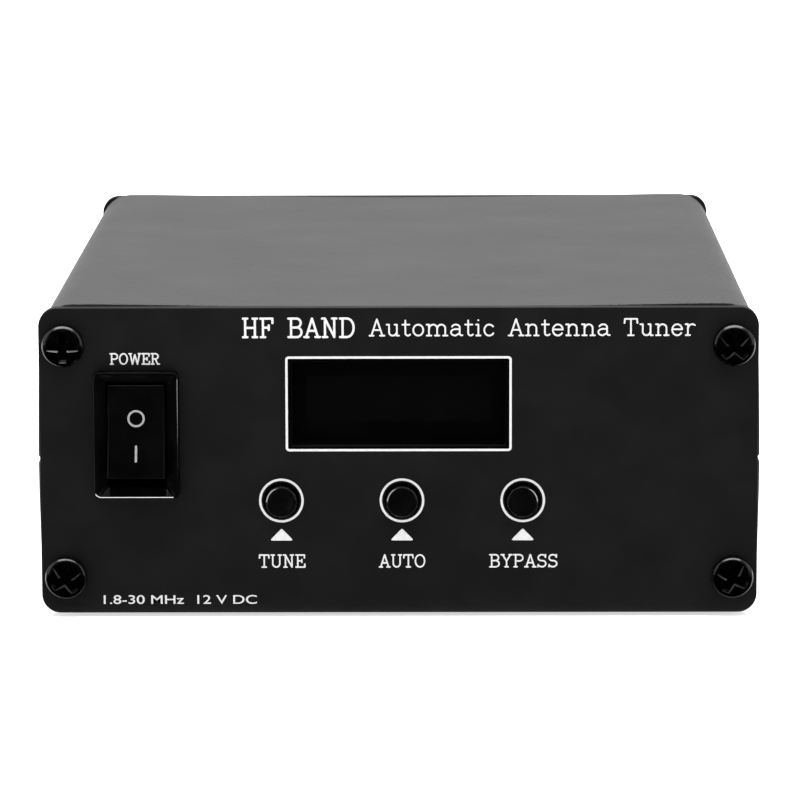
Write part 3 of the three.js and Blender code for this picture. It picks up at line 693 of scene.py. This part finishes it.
def screw_mesh():
    """A pan head with a cross recess and a threaded shank, the head standing towards -Y."""
    rim_height, crown, roundness = 0.75, 1.15, 0.42
    crest, root, pitch, threaded = 1.2, 0.98, 0.5, 7.4
    dome = [
        (HEAD_RADIUS * math.sin(a), -rim_height - crown * math.cos(a) ** roundness)
        for a in (math.radians(d) for d in (8, 16, 24, 32, 40, 48, 56, 64, 71, 77, 82, 86, 90))
    ]
    head = [(0, -HEAD_HEIGHT), *dome, (HEAD_RADIUS, -0.1), (HEAD_RADIUS - 0.1, 0), (crest, 0)]
    shank = []
    along = 0.0
    while along < threaded:
        shank += [(crest, along + 0.15), (root, along + 0.4)]
        along += pitch
    bm = bmesh.new()
    lathe(bm, [*head, *shank, (1.15, 7.9), (0, 8.9)], 64)
    # Each slot of the cross, as (distance along Y, length, width) from its flared mouth to its floor.
    levels = ((-2.4, 5.28, 2.33), (-1.66, 3.8, 0.85), (-0.9, 3.4, 0.75), (-0.65, 1.4, 0.45))
    for turned in (0, math.pi / 2):
        slot = bmesh.new()
        loops = []
        for y, length, width in levels:
            corners = ((-length, -width), (length, -width), (length, width), (-length, width))
            loops.append(loop(slot, [(x / 2, y, z / 2) for x, z in corners]))
        for first, second in zip(loops, loops[1:]):
            bridge(slot, first, second)
        slot.faces.new(loops[0])
        slot.faces.new(loops[-1])
        bmesh.ops.rotate(slot, verts=slot.verts, matrix=Matrix.Rotation(turned, 3, "Y"))
        bm = boolean(bm, slot)
    core = bmesh.new()
    lathe(core, [(0, -2.4), (0.78, -2.4), (0.7, -1.6), (0.25, -0.6), (0, -0.5)], 32)
    bm = boolean(bm, core)
    bmesh.ops.remove_doubles(bm, verts=bm.verts, dist=1e-3)
    return bm


SCREW_TURNS = [math.radians(a) for a in (-35, 0, 28, 45)]
REAR_TURN = math.pi * 0.4


def screws():
    """Every screw is turned in its own mesh, so that its box is as tight as its head."""
    source = screw_mesh()
    for name, at_rear in (
        ("front_screw", False),
        ("rear_screw", True),
        ("antenna_socket_screw", True),
        ("transceiver_socket_screw", True),
    ):
        for i, turn in enumerate(SCREW_TURNS):
            node = f"{name}_{i + 1}"
            at = middle(node)
            lo, hi = span(node)
            seat = hi.y - HEAD_HEIGHT if at_rear else lo.y + HEAD_HEIGHT
            bm = source.copy()
            turned = Matrix.Rotation(turn + (REAR_TURN if at_rear else 0), 3, "Y")
            bmesh.ops.rotate(bm, verts=bm.verts, matrix=turned)
            facing = Matrix.Rotation(math.pi if at_rear else 0, 4, "Z")
            place = Matrix.Translation(Vector((at.x, seat, at.z)) * MM) @ facing
            stand_in(node, bm, "screw_black", 30, place)
    source.free()


# --- case and panels ------------------------------------------------------------------------------


def case():
    """The half shells, with only the outer edges of their ends rounded."""
    ends = (span("shell_bottom")[0].y, span("shell_bottom")[1].y)
    low, high = span("shell_bottom")[0].z, span("shell_top")[1].z
    side, skin = 43.3, 1.3

    def outside(v):
        return abs(v.co.x) > side or v.co.z < low + skin or v.co.z > high - skin

    def outer_end_edge(e):
        at_end = any(all(abs(v.co.y - end) < 0.01 for v in e.verts) for end in ends)
        return at_end and all(outside(v) for v in e.verts)

    for node in ("shell_bottom", "shell_top"):
        refined(node, "case_black", 0.15, 2, 40, outer_end_edge)


PANEL = rounded_rectangle(0, MID_HEIGHT, 87.4, 37.7, 2.3)


def screw_holes(name, radius):
    centres = (middle(f"{name}_{i + 1}") for i in range(4))
    return [disc(at.x, at.z, radius, 32) for at in centres]


def front_panel():
    buttons = [middle(f"{name}_button") for name in BUTTONS]
    glass = middle("display_glass")
    switch = middle("switch_housing")
    holes = [
        *screw_holes("front_screw", SCREW_HOLE),
        *(disc(at.x, at.z, 2.2) for at in buttons),
        rounded_rectangle(glass.x, glass.z, 25.96, 10.5, 0.25, 4),
        rounded_rectangle(switch.x, switch.z, 8.7, 13.6, 0.2, 3),
    ]
    bm = plate_mesh(PANEL, holes, FRONT, FRONT + PANEL_THICKNESS, 0.11, 2)
    stand_in("front_panel", bm, "panel_black")


def rear_panel():
    jack, stud = middle("supply_jack"), middle("earth_stud")
    holes = [
        *screw_holes("rear_screw", SCREW_HOLE),
        *screw_holes("antenna_socket_screw", TAPPED_HOLE),
        *screw_holes("transceiver_socket_screw", TAPPED_HOLE),
        *(disc(middle(f"{name}_socket").x, MID_HEIGHT, NECK_HOLE) for name in SOCKETS),
        disc(jack.x, jack.z, 4.05),
        disc(stud.x, stud.z, 2.1, 32),
    ]
    bm = plate_mesh(PANEL, holes, BACK - PANEL_THICKNESS, BACK, 0.16, 2)
    stand_in("rear_panel", bm, "panel_black")


def front_print():
    label_base, label_height, label_pen, line_pen = 5.98, 1.5, 0.18, 0.28
    window_z = 26.18
    ink = Print(FRONT, -1)
    ink.write("HF BAND", -18.94, -5.3, 34.4, 2.27, 0.27)
    ink.write("Automatic Antenna Tuner", -3.5, 36.0, 34.56, 2.0, 0.2)
    ink.write("POWER", -35.0, -29.0, 31.12, 1.27, label_pen)
    ink.write("TUNE", -17.1, -11.45, label_base, label_height, label_pen)
    ink.write("AUTO", -2.4, 3.2, label_base, label_height, label_pen)
    ink.write("BYPASS", 11.05, 19.35, label_base, label_height, label_pen)
    ink.plain("1.8-30 MHz  12 V DC", -36.15, -17.4, 1.42, 1.1, 0.004)
    ink.ring(rounded_rectangle(0, window_z, 27.2, 11.4, 0.3, 5), line_pen)
    half, foot_z, tip_z = 1.46, 9.28, 10.78
    for name in BUTTONS:
        at = middle(f"{name}_button")
        ink.ring(disc(at.x, at.z, 2.58, 64), line_pen)
        corners = [(at.x - half, foot_z), (at.x + half, foot_z), (at.x, tip_z)]
        ink.area(fillet(corners, 0.16, 4, True))
    ink.finish("front_print")
    # A glossy black ring round the display window: painted shade standing in for the dark gap between
    # the panel and the glass.
    gap_shade = Print(FRONT, -1, 0.012)
    gap_shade.ring(rounded_rectangle(0, window_z, 26.45, 10.96, 0.3, 5), 0.46)
    gap_shade.finish("display_gap_shade", look="display_black")


def rear_print():
    pen = 0.28
    ink = Print(BACK, 1)
    for text, name in zip(("ANT", "TRX"), SOCKETS):
        at = middle(f"{name}_socket")
        ink.write(text, at.x + 2.6, at.x - 2.6, 34.4, 1.7, pen)
    jack, stud = middle("supply_jack"), middle("earth_stud")
    ink.plain("DC 12 V", jack.x + 3.4, jack.x - 3.4, 32.4, 1.3, 0.006)
    for half, z in ((1.5, 4.2), (1.0, 3.6), (0.5, 3.0)):
        ink.stroke([(stud.x - half, z), (stud.x + half, z)], pen)
    ink.stroke([(stud.x, 5.6), (stud.x, 4.2)], pen)
    ink.finish("rear_print")


# --- front controls -------------------------------------------------------------------------------

ROCKER_PIVOT = Vector((-31.85, FRONT + 1.5, 22.5))
ROCKER_REST = math.radians(-10)
ROCKER_SLOPE = math.atan(1 / 5.7)


def switch_housing():
    """A moulding lofted from rounded rectangles, its rim rounded off outside and sloped inside."""
    rim = span("switch_housing")[0].y
    x, z = ROCKER_PIVOT.x, ROCKER_PIVOT.z
    round_off, corner = 0.36, 0.8
    width, height = SWITCH_BEZEL
    sections = [
        (*SWITCH_BODY, 0.2, FRONT + 9),
        (*SWITCH_BODY, 0.2, FRONT),
        (width, height, corner, FRONT),
    ]
    for a in (math.radians(d) for d in (0, 15, 30, 45, 60, 75, 90)):
        inset = 2 * round_off * (1 - math.cos(a))
        y = rim + round_off * (1 - math.sin(a))
        sections.append((width - inset, height - inset, corner - inset / 4, y))
    sections += [
        (9.32, 14.92, 0.36, rim),
        (9.26, 14.86, 0.35, rim + 0.03),
        (7.34, 12.94, 0.25, rim + 0.87),
        (*SWITCH_MOUTH, 0.25, rim + 0.93),
        (*SWITCH_MOUTH, 0.25, FRONT + 6.5),
    ]
    bm = bmesh.new()
    loops = []
    for across, up, radius, y in sections:
        outline = rounded_rectangle(x, z, across, up, radius, 5)(0)
        loops.append(loop(bm, [(px, y, pz) for px, pz in outline]))
    for first, second in zip(loops, loops[1:]):
        bridge(bm, first, second)
    bm.faces.new(loops[0])
    bm.faces.new(loops[-1])
    root, barb, reach = 6.2, 7.2, 1.5
    for side in (1, -1):
        latch = bmesh.new()
        profile = [(FRONT + 1.9, root), (FRONT + 1.9, barb), (FRONT + 4.9, root)]
        ends = [
            loop(latch, [(x + end, y, z + side * up) for y, up in profile])
            for end in (-reach, reach)
        ]
        bridge(latch, *ends)
        latch.faces.new(ends[0])
        latch.faces.new(ends[1])
        bm = boolean(bm, latch, "UNION")
    hole = bmesh.new()
    lathe(hole, [(0, -4.05), (1, -4.05), (1, 4.05), (0, 4.05)], 32)
    bmesh.ops.rotate(hole, verts=hole.verts, matrix=Matrix.Rotation(math.pi / 2, 3, "Z"))
    bmesh.ops.translate(hole, verts=hole.verts, vec=ROCKER_PIVOT)
    stand_in("switch_housing", boolean(bm, hole), "switch_black")


def rocker_mark(name, up, along, draw):
    """A mark on the rocker's face, up is 1 above the valley and -1 below it."""
    mark = Print(0, -1, 0.02)
    draw(mark)
    valley = -2.7
    offset = (0, valley - along * math.sin(ROCKER_SLOPE), up * along * math.cos(ROCKER_SLOPE))
    matrix = (
        Matrix.Translation(ROCKER_PIVOT)
        @ Matrix.Rotation(ROCKER_REST, 4, "X")
        @ Matrix.Translation(offset)
        @ Matrix.Rotation(up * ROCKER_SLOPE, 4, "X")
    )
    bmesh.ops.transform(mark.bm, matrix=matrix, verts=mark.bm.verts)
    mark.finish(name, "rocker", "mark_grey")


def rocker_switch():
    switch_housing()
    refined("power_rocker", "switch_black", 0.22, 3)
    rocker_mark("off_mark", 1, 1.63, lambda mark: mark.ring(disc(0, 0, 0.93), 0.25))
    rocker_mark("on_mark", -1, 2.73, lambda mark: mark.stroke([(0, -0.92), (0, 0.92)], 0.28))
    for i in (1, 2):
        refined(f"switch_tab_{i}", "contact_brass", 0.08)


def push_buttons():
    """Caps with a dished top and a rounded edge, on a narrower stem."""
    edge_radius, stem_radius, stem_length = 0.28, 1.5, 1.8
    for name in BUTTONS:
        node = f"{name}_button"
        at = middle(node)
        lo, hi = span(node)
        depth = hi.y - lo.y
        foot_at = depth - stem_length
        cap = [(0, 0.1), (0.7, 0.085), (1.3, 0.03), (1.52, 0.0), (1.62, 0.01)]
        edge = [
            (BUTTON_RADIUS - edge_radius * (1 - math.sin(a)), edge_radius * (1 - math.cos(a)))
            for a in (math.radians(d) for d in (15, 30, 45, 60, 75, 90))
        ]
        skirt = [(BUTTON_RADIUS, 1), (BUTTON_RADIUS, foot_at)]
        body = fillet([*skirt, (stem_radius, foot_at), (stem_radius, depth), (0, depth)], 0.08)
        bm = bmesh.new()
        lathe(bm, [*cap, *edge, *body], 64, (at.x, lo.y, at.z))
        stand_in(node, bm, "button_black")
        refined(f"{name}_switch", "chip_black", 0.12)


def display():
    refined("display_glass", "display_black", 0.12, 3)
    glass = middle("display_glass")
    front = span("display_glass")[0].y
    area = rounded_rectangle(glass.x, glass.z + 0.4, 22.4, 5.6, 0.15, 3)
    bm = plate_mesh(area, [], front - 0.02, front + 0.05, 0.008)
    to_object("display_active_area", bm, "display_area")
    refined("display_board", "board_green", 0.1)
    refined("display_ribbon", "lead_red", 0.1)


# --- rear fittings --------------------------------------------------------------------------------


def coax_socket(name):
    """A flanged barrel with an outside thread and four notches at its mouth."""
    x = middle(f"{name}_socket").x
    at = (x, BACK, MID_HEIGHT)
    radius, pitch, neck, boss, mouth, seat, end = 7.95, 25.4 / 24, 7.2, 6.3, 6.2, 4.6, 16.3
    outside = fillet(
        [(seat, -3), (boss, -3), (boss, 0.4), (neck, 0.4), (neck, 3.2), (radius, 3.8)], 0.15
    )
    inside = fillet(
        [(radius, 15.75), (7.55, end), (mouth, end), (mouth, 1), (seat, 1), (seat, -2.9)], 0.15
    )
    profile = [*outside[:-1], *barrel(radius, 3.8, 15.7, pitch / 8), *inside[1:-1]]
    bm = bmesh.new()
    lathe(bm, profile, 96, at, True, thread(radius, pitch, 0.55, 4.0, 15.6))
    for across, up in ((9, 0.6), (0.6, 9)):
        tool = bmesh.new()
        bmesh.ops.create_cube(tool, size=2)
        reach = Matrix.Diagonal((across, 1.1, up, 1))
        reach = Matrix.Translation((x, BACK + 16.5, MID_HEIGHT)) @ reach
        bmesh.ops.transform(tool, matrix=reach, verts=tool.verts)
        bm = boolean(bm, tool)
    holes = [*screw_holes(f"{name}_socket_screw", SCREW_HOLE), disc(x, MID_HEIGHT, NECK_HOLE)]
    outline = rounded_rectangle(x, MID_HEIGHT, 25.4, 25.4, 1.5)
    flange = plate_mesh(outline, holes, BACK, BACK + FLANGE_THICKNESS, 0.14, 2)
    mesh = bpy.data.meshes.new("flange")
    flange.to_mesh(mesh)
    flange.free()
    bm.from_mesh(mesh)
    bpy.data.meshes.remove(mesh)
    stand_in(f"{name}_socket", bm, "socket_nickel", 40)


def coax_insulator(name):
    at = (middle(f"{name}_socket").x, BACK, MID_HEIGHT)
    ring = [(1.9, -4.2), (4.5, -4.2), (4.5, 1.1), (6.1, 1.1), (6.1, 6.5), (1.9, 6.5)]
    bm = bmesh.new()
    lathe(bm, fillet(ring, 0.25, 4, True), 64, at, True)
    stand_in(f"{name}_insulator", bm, "insulator_white")


def coax_sockets():
    for name in SOCKETS:
        coax_socket(name)
        coax_insulator(name)
        refined(f"{name}_contact", "contact_brass", 0.07, 2, 40)


def supply_jack():
    at = middle("supply_jack")
    core, barrel_radius, flange, bore = 1.15, 3.9, 5.5, 2.9
    ring = [
        (core, -10),
        (barrel_radius, -10),
        (barrel_radius, 0),
        (flange, 0),
        (flange, 1.8),
        (3.2, 1.8),
        (bore, 1.5),
        (bore, -7.5),
        (core, -7.5),
    ]
    bm = bmesh.new()
    lathe(bm, fillet(ring, 0.3, 4, True), 64, (at.x, BACK, at.z), True)
    stand_in("supply_jack", bm, "switch_black")
    refined("supply_jack_pin", "socket_nickel", 0.1, 3, 40)
    refined("supply_jack_nut", "socket_nickel", 0.15)


def hexagon(x, z, across_flats):
    def outline(grow):
        reach = (across_flats / 2 + grow) / math.cos(math.pi / 6)
        turns = (math.pi / 3 * i for i in range(6))
        return [(x + reach * math.cos(a), z + reach * math.sin(a)) for a in turns]

    return outline


def earth_terminal():
    """A round-headed stud through the rear panel, with a washer and a nut chamfered at both ends."""
    at = middle("earth_stud")
    x, z = at.x, at.z
    head = [(0, -3.8), (2.7, -3.8), (3.8, -2.7), (3.8, -1.6), (STUD_RADIUS, -1.6)]
    rod = barrel(STUD_RADIUS, -1.5, 9.4, STUD_PITCH / 8)
    tip = [(STUD_RADIUS, 9.45), (1.35, 10), (0, 10)]
    shape = thread(STUD_RADIUS, STUD_PITCH, 0.36, -1.4, 9.4)
    bm = bmesh.new()
    lathe(bm, [*fillet(head, 0.2), *rod, *tip], 48, (x, BACK, z), False, shape)
    stand_in("earth_stud", bm, "fastener_steel")
    hole = disc(x, z, STUD_RADIUS + 0.1)
    nut_at = BACK + WASHER_THICKNESS
    bm = plate_mesh(disc(x, z, 4.5, 64), [hole], BACK, nut_at, 0.12, 2)
    stand_in("earth_washer", bm, "fastener_steel")
    bm = plate_mesh(hexagon(x, z, 7), [hole], nut_at, BACK + 4, 0.06, 1)
    turned = bmesh.new()
    chamfers = [(0, 0.7), (3.45, 0.7), (4.1, 1.15), (4.1, 3.65), (3.45, 4.1), (0, 4.1)]
    lathe(turned, chamfers, 64, (x, BACK, z))
    stand_in("earth_nut", boolean(bm, turned, "INTERSECT"), "fastener_steel", 25)


# --- inside ---------------------------------------------------------------------------------------


def inside():
    for node, look, width in (
        ("main_board", "board_green", 0.15),
        ("controller_chip", "chip_black", 0.2),
        ("smoothing_capacitor", "chip_black", 0.4),
        ("regulator", "chip_black", 0.15),
        ("bridge_transformer", "chip_black", 0.4),
        ("relay_bank_left", "relay_blue", 0.35),
        ("relay_bank_right", "relay_blue", 0.35),
    ):
        refined(node, look, width)
    for i in range(1, 5):
        refined(f"coil_{i}", "coil_red", 0.1, 2, 70)
    for name in (*SOCKETS, "supply"):
        refined(f"{name}_lead", "lead_red", 0.1, 2, 70)


# --- stage ----------------------------------------------------------------------------------------


def floor():
    bm = bmesh.new()
    bmesh.ops.create_grid(bm, x_segments=8, y_segments=8, size=5)
    mesh = bpy.data.meshes.new("floor")
    bm.to_mesh(mesh)
    bm.free()
    look = Look("floor_white", 0.9, 0.9, specular=0.1)
    look.tones(0.88, 60)
    look.shader.inputs["Emission Color"].default_value = (1, 1, 1, 1)
    look.shader.inputs["Emission Strength"].default_value = 0.6
    mesh.materials.append(look.material)
    ground = bpy.data.objects.new("floor", mesh)
    ground.location.z = -0.0002
    bpy.context.scene.collection.objects.link(ground)


def black_cards():
    """Studio cards that only reflections see: they keep the white room out of the front faces."""
    look = Look("card_black", 0.002, 1.0, specular=0.0)
    look.tones(0.003, 60)
    far = FRONT * MM - 0.9
    near = far + 0.899
    lift, side, wide, top = 0.0002, 0.7, 1.1, 1.25
    for name, corners in (
        (
            "floor_card",
            [(-side, far, lift), (side, far, lift), (side, near, lift), (-side, near, lift)],
        ),
        ("front_card", [(-wide, far, 0), (wide, far, 0), (wide, far, top), (-wide, far, top)]),
    ):
        bm = bmesh.new()
        bm.faces.new(loop(bm, corners))
        mesh = bpy.data.meshes.new(name)
        bm.to_mesh(mesh)
        bm.free()
        mesh.materials.append(look.material)
        card = bpy.data.objects.new(name, mesh)
        for ray in ("camera", "diffuse", "transmission", "volume_scatter", "shadow"):
            setattr(card, f"visible_{ray}", False)
        bpy.context.scene.collection.objects.link(card)


def area_light(name, at, target, width, height, energy, diffuse=True):
    lamp = bpy.data.lights.new(name, "AREA")
    lamp.shape = "RECTANGLE"
    lamp.size = width
    lamp.size_y = height
    lamp.energy = energy
    made = bpy.data.objects.new(name, lamp)
    made.location = at
    made.rotation_euler = (Vector(target) - Vector(at)).to_track_quat("-Z", "Y").to_euler()
    made.visible_camera = False
    made.visible_diffuse = diffuse
    bpy.context.scene.collection.objects.link(made)
    return made


def only_on(lamp, *names):
    """A small light that picks out the edges of a few pieces."""
    lit = bpy.data.collections.new(lamp.name)
    for name in names:
        lit.objects.link(bpy.data.objects[name])
    lamp.light_linking.receiver_collection = lit


def hide_from(lamp, *names):
    """A light that lights everything but a few pieces."""
    skipped = bpy.data.collections.new(f"{lamp.name}_skips")
    for name in names:
        skipped.objects.link(bpy.data.objects[name])
    for entry in skipped.collection_objects:
        entry.light_linking.link_state = "EXCLUDE"
    lamp.light_linking.receiver_collection = skipped


def studio():
    """A white room and a softbox, with four small lights for the edges of the front controls."""
    world = bpy.data.worlds.new("studio")
    world.use_nodes = True
    background = world.node_tree.nodes["Background"]
    background.inputs["Color"].default_value = (1, 1, 1, 1)
    background.inputs["Strength"].default_value = 0.8
    bpy.context.scene.world = world
    front = FRONT * MM
    tune, auto, bypass = (f"{name}_button_fine" for name in BUTTONS)
    housing = "switch_housing_fine"
    softbox = area_light("softbox", (0, -0.1, 1.5), (0, 0, 0), 1.8, 1.8, 50)
    hide_from(softbox, housing, tune, auto, bypass)
    for name, x, y, width, height, energy in (
        ("rim_below", -0.0458, front - 0.019, 0.0385, 0.014, 0.15),
        ("rim_right", 0.103, front - 0.109, 0.07, 0.07, 0.4),
    ):
        rim = area_light(name, (x, y, 0.001), (x, y, 1), width, height, energy, False)
        only_on(rim, housing)
    button_height = 0.06
    for name, x, lit in (("glint_left", -0.075, (tune, auto)), ("glint_right", 0.09, (bypass,))):
        at, target = (x, front - 0.045, button_height), (0, front, button_height)
        only_on(area_light(name, at, target, 0.1, 0.118, 0.41, False), *lit)


def camera():
    yaw, pitch, roll = (math.radians(a) for a in (-0.478, 9.436, -0.171))
    level = Vector((math.cos(yaw), -math.sin(yaw), 0))
    ahead = Vector((math.sin(yaw), math.cos(yaw), 0))
    forward = ahead * math.cos(pitch) - Vector((0, 0, math.sin(pitch)))
    right = level * math.cos(roll) + level.cross(forward) * math.sin(roll)
    up = right.cross(forward)
    data = bpy.data.cameras.new("camera")
    data.lens = 209.2
    data.sensor_width = 36
    data.clip_start = 0.01
    data.clip_end = 50
    made = bpy.data.objects.new("camera", data)
    axes = Matrix((right, up, -forward)).transposed().to_4x4()
    made.matrix_world = Matrix.Translation((0.00482, -0.62011, 0.11921)) @ axes
    scene = bpy.context.scene
    scene.collection.objects.link(made)
    scene.camera = made
    scene.view_settings.view_transform = "Standard"
    scene.view_settings.look = "None"


case()
front_panel()
rear_panel()
front_print()
rear_print()
screws()
rocker_switch()
push_buttons()
display()
coax_sockets()
supply_jack()
earth_terminal()
inside()
floor()
black_cards()
studio()
camera()

bpy.context.view_layer.update()
